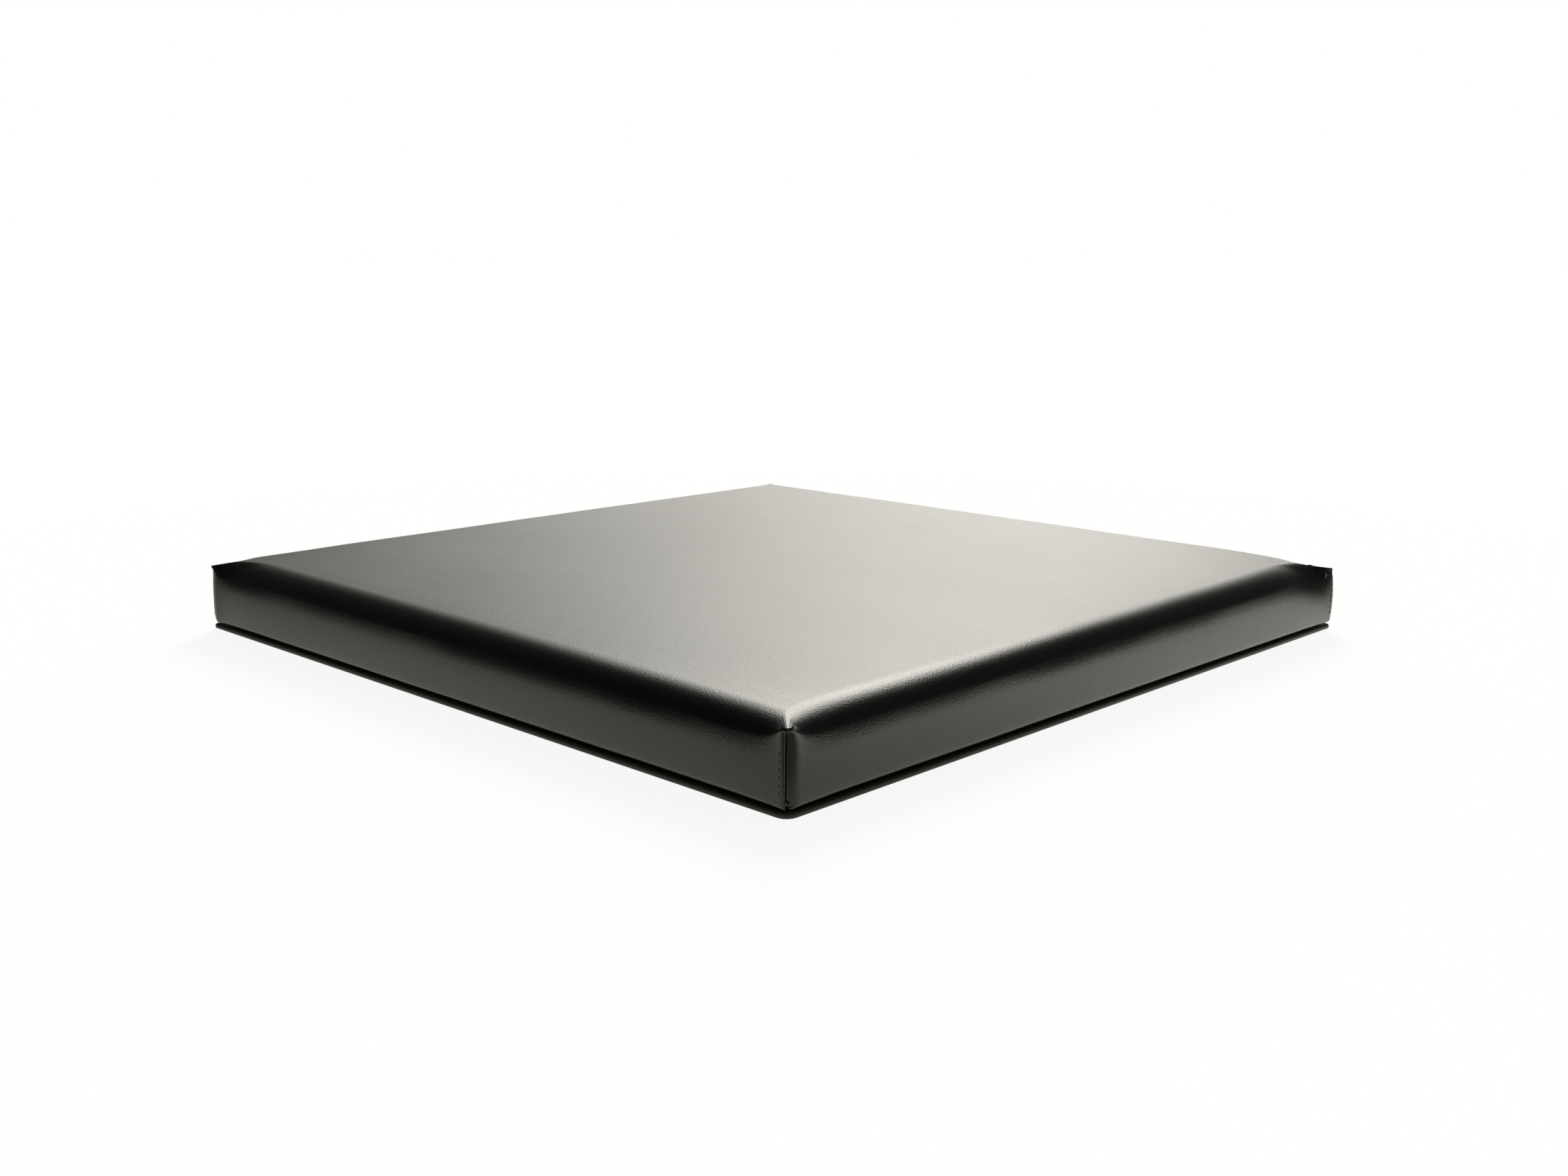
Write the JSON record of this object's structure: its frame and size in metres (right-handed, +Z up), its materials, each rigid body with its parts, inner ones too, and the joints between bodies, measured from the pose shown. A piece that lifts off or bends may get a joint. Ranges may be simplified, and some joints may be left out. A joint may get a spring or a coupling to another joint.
{
  "type": "balance pad",
  "caption": "Square upholstered balance pad: a vinyl cover over two foam layers on a thin board, with lapped, stitched corners and a non-slip base sheet.",
  "frame": {"origin": "on the floor, under the middle of the pad", "axes": "+Z up through the pad's thickness, +X and +Y along its sides; the front is at -Y"},
  "size_m": [0.6, 0.6, 0.052],
  "materials": {
    "cover_vinyl": "satin coated vinyl with a fine grain",
    "non_slip_rubber": "matt, moulded",
    "felt": "needled",
    "staple_wire": "galvanised wire",
    "plywood": "sanded birch plywood",
    "support_foam": "open-cell foam, firm",
    "comfort_foam": "open-cell foam, soft",
    "wadding": "bonded polyester fibre",
    "thread": "twisted polyester thread"
  },
  "bodies": {
    "root": {"base_sheet": "non_slip_rubber", "levelling_felt": "felt", "cover_staples": "staple_wire", "base_board": "plywood", "support_foam": "support_foam", "comfort_foam": "comfort_foam", "wadding": "wadding", "cover": "cover_vinyl", "stitching_front_left": "thread", "stitching_front_right": "thread", "stitching_back_right": "thread", "stitching_back_left": "thread"}
  },
  "joints": []
}
